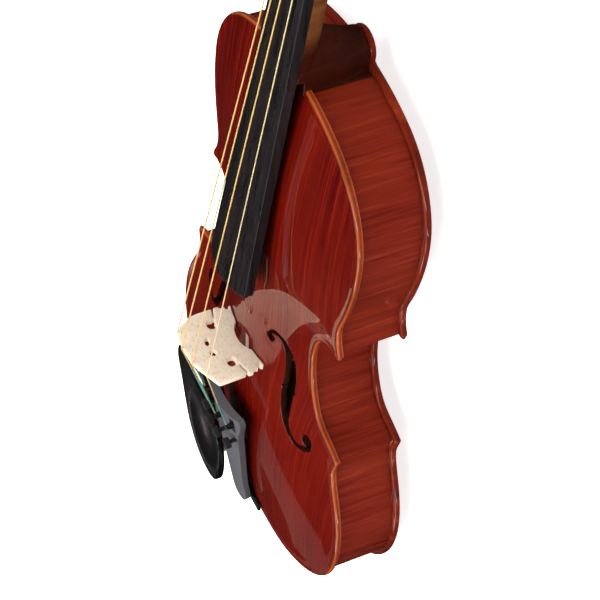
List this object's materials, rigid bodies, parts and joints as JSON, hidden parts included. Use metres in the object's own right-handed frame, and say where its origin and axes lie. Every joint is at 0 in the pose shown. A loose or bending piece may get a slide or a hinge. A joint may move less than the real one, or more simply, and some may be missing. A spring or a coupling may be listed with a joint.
{
  "type": "violin",
  "caption": "Full-size violin with red-brown varnish, black fittings, fine tuners in the tailpiece and a chin rest beside it.",
  "frame": {"origin": "middle of the length and the width, on the plane the back's arch rests on", "axes": "+X to the treble side (E string), +Y along the neck to the scroll, +Z out of the front"},
  "size_m": [0.2096, 0.6036, 0.0989],
  "materials": {
    "front_spruce": "high gloss red-brown varnish on straight-grained spruce",
    "back_maple": "high gloss red-brown varnish on flamed maple",
    "rib_maple": "high gloss red-brown varnish on flamed maple",
    "neck_maple": "satin oiled maple, varnished red-brown at the heel and the scroll",
    "inner_wood": "bare",
    "ebony": "polished black",
    "peg_wood": "polished black",
    "bridge_maple": "bare, fine flecks",
    "tailpiece_black": "black composite",
    "tuner_metal": "blackened, satin",
    "tuner_black": "black, knurled",
    "tailgut_nylon": "black",
    "string_wound": "fine wound metal",
    "string_plain": "bright drawn metal",
    "cork": "natural cork",
    "clamp_chrome": "bright plated"
  },
  "bodies": {
    "violin": {"top_plate": "front_spruce", "back_plate": "back_maple", "rib_lower": "rib_maple", "rib_waist_treble": "rib_maple", "rib_waist_bass": "rib_maple", "rib_upper_treble": "rib_maple", "rib_upper_bass": "rib_maple", "corner_block_lower_treble": "inner_wood", "corner_block_lower_bass": "inner_wood", "corner_block_upper_treble": "inner_wood", "corner_block_upper_bass": "inner_wood", "end_block": "inner_wood", "neck_block": "inner_wood", "linings_top": "inner_wood", "linings_back": "inner_wood", "bass_bar": "inner_wood", "sound_post": "inner_wood", "neck_and_scroll": "neck_maple", "fingerboard": "ebony", "nut": "ebony", "bridge": "bridge_maple", "saddle": "ebony", "tailpiece": "tailpiece_black", "tuner_pins": "tuner_metal", "tailgut": "tailgut_nylon", "end_button": "ebony", "string_g": "string_wound", "string_d": "string_wound", "string_a": "string_wound", "string_e": "string_plain", "chin_rest": "tailpiece_black", "chin_rest_cork": "cork", "clamp_posts": "clamp_chrome"},
    "peg_g": {"peg_g": "peg_wood", "winding_g": "string_wound"},
    "peg_d": {"peg_d": "peg_wood", "winding_d": "string_wound"},
    "peg_a": {"peg_a": "peg_wood", "winding_a": "string_wound"},
    "peg_e": {"peg_e": "peg_wood", "winding_e": "string_plain"},
    "tuner_screw_g": {"tuner_screw_g": "tuner_black"},
    "tuner_lever_g": {"tuner_lever_g": "tuner_metal"},
    "tuner_screw_d": {"tuner_screw_d": "tuner_black"},
    "tuner_lever_d": {"tuner_lever_d": "tuner_metal"},
    "tuner_screw_a": {"tuner_screw_a": "tuner_black"},
    "tuner_lever_a": {"tuner_lever_a": "tuner_metal"},
    "tuner_screw_e": {"tuner_screw_e": "tuner_black"},
    "tuner_lever_e": {"tuner_lever_e": "tuner_metal"},
    "clamp_foot": {"clamp_foot": "clamp_chrome", "clamp_foot_cork": "cork"},
    "clamp_barrel_1": {"clamp_barrel_1": "clamp_chrome"},
    "clamp_barrel_2": {"clamp_barrel_2": "clamp_chrome"}
  },
  "joints": [
    {"name": "peg_g_turn", "type": "hinge", "parent": "violin", "child": "peg_g", "pos_m": [0, 0.21372, 0.02886], "axis": [1, 0, 0], "continuous": true},
    {"name": "peg_d_turn", "type": "hinge", "parent": "violin", "child": "peg_d", "pos_m": [0, 0.24087, 0.02019], "axis": [1, 0, 0], "continuous": true},
    {"name": "peg_a_turn", "type": "hinge", "parent": "violin", "child": "peg_a", "pos_m": [0, 0.25396, 0.01601], "axis": [1, 0, 0], "continuous": true},
    {"name": "peg_e_turn", "type": "hinge", "parent": "violin", "child": "peg_e", "pos_m": [0, 0.22729, 0.02453], "axis": [1, 0, 0], "continuous": true},
    {"name": "tuner_screw_g_drive", "type": "slide", "parent": "violin", "child": "tuner_screw_g", "axis": [0, 0.1867, -0.9824], "range_m": [0, 0.0018]},
    {"name": "tuner_lever_g_tilt", "type": "hinge", "parent": "violin", "child": "tuner_lever_g", "pos_m": [-0.015, -0.18609, 0.07168], "axis": [1, 0, 0], "range_deg": [0, 6.5]},
    {"name": "tuner_screw_d_drive", "type": "slide", "parent": "violin", "child": "tuner_screw_d", "axis": [0, 0.1867, -0.9824], "range_m": [0, 0.0018]},
    {"name": "tuner_lever_d_tilt", "type": "hinge", "parent": "violin", "child": "tuner_lever_d", "pos_m": [-0.005, -0.18653, 0.07399], "axis": [1, 0, 0], "range_deg": [0, 6.5]},
    {"name": "tuner_screw_a_drive", "type": "slide", "parent": "violin", "child": "tuner_screw_a", "axis": [0, 0.1867, -0.9824], "range_m": [0, 0.0018]},
    {"name": "tuner_lever_a_tilt", "type": "hinge", "parent": "violin", "child": "tuner_lever_a", "pos_m": [0.005, -0.18653, 0.07399], "axis": [1, 0, 0], "range_deg": [0, 6.5]},
    {"name": "tuner_screw_e_drive", "type": "slide", "parent": "violin", "child": "tuner_screw_e", "axis": [0, 0.1867, -0.9824], "range_m": [0, 0.0018]},
    {"name": "tuner_lever_e_tilt", "type": "hinge", "parent": "violin", "child": "tuner_lever_e", "pos_m": [0.015, -0.18609, 0.07168], "axis": [1, 0, 0], "range_deg": [0, 6.5]},
    {"name": "clamp_foot_travel", "type": "slide", "parent": "violin", "child": "clamp_foot", "axis": [0, 0, -1], "range_m": [0, 0.004]},
    {"name": "clamp_barrel_1_turn", "type": "hinge", "parent": "violin", "child": "clamp_barrel_1", "pos_m": [-0.036, -0.2908, 0.0335], "axis": [0, 0, 1], "range_deg": [0, 1440]},
    {"name": "clamp_barrel_2_turn", "type": "hinge", "parent": "violin", "child": "clamp_barrel_2", "pos_m": [-0.062, -0.2833, 0.0335], "axis": [0, 0, 1], "range_deg": [0, 1440]}
  ],
  "couplings": [
    {"joint": "tuner_lever_g_tilt", "follows": "tuner_screw_g_drive", "rad_per_m": 62.5},
    {"joint": "tuner_lever_d_tilt", "follows": "tuner_screw_d_drive", "rad_per_m": 62.5},
    {"joint": "tuner_lever_a_tilt", "follows": "tuner_screw_a_drive", "rad_per_m": 62.5},
    {"joint": "tuner_lever_e_tilt", "follows": "tuner_screw_e_drive", "rad_per_m": 62.5},
    {"joint": "clamp_barrel_1_turn", "follows": "clamp_foot_travel", "rad_per_m": 6283.2},
    {"joint": "clamp_barrel_2_turn", "follows": "clamp_foot_travel", "rad_per_m": 6283.2}
  ]
}
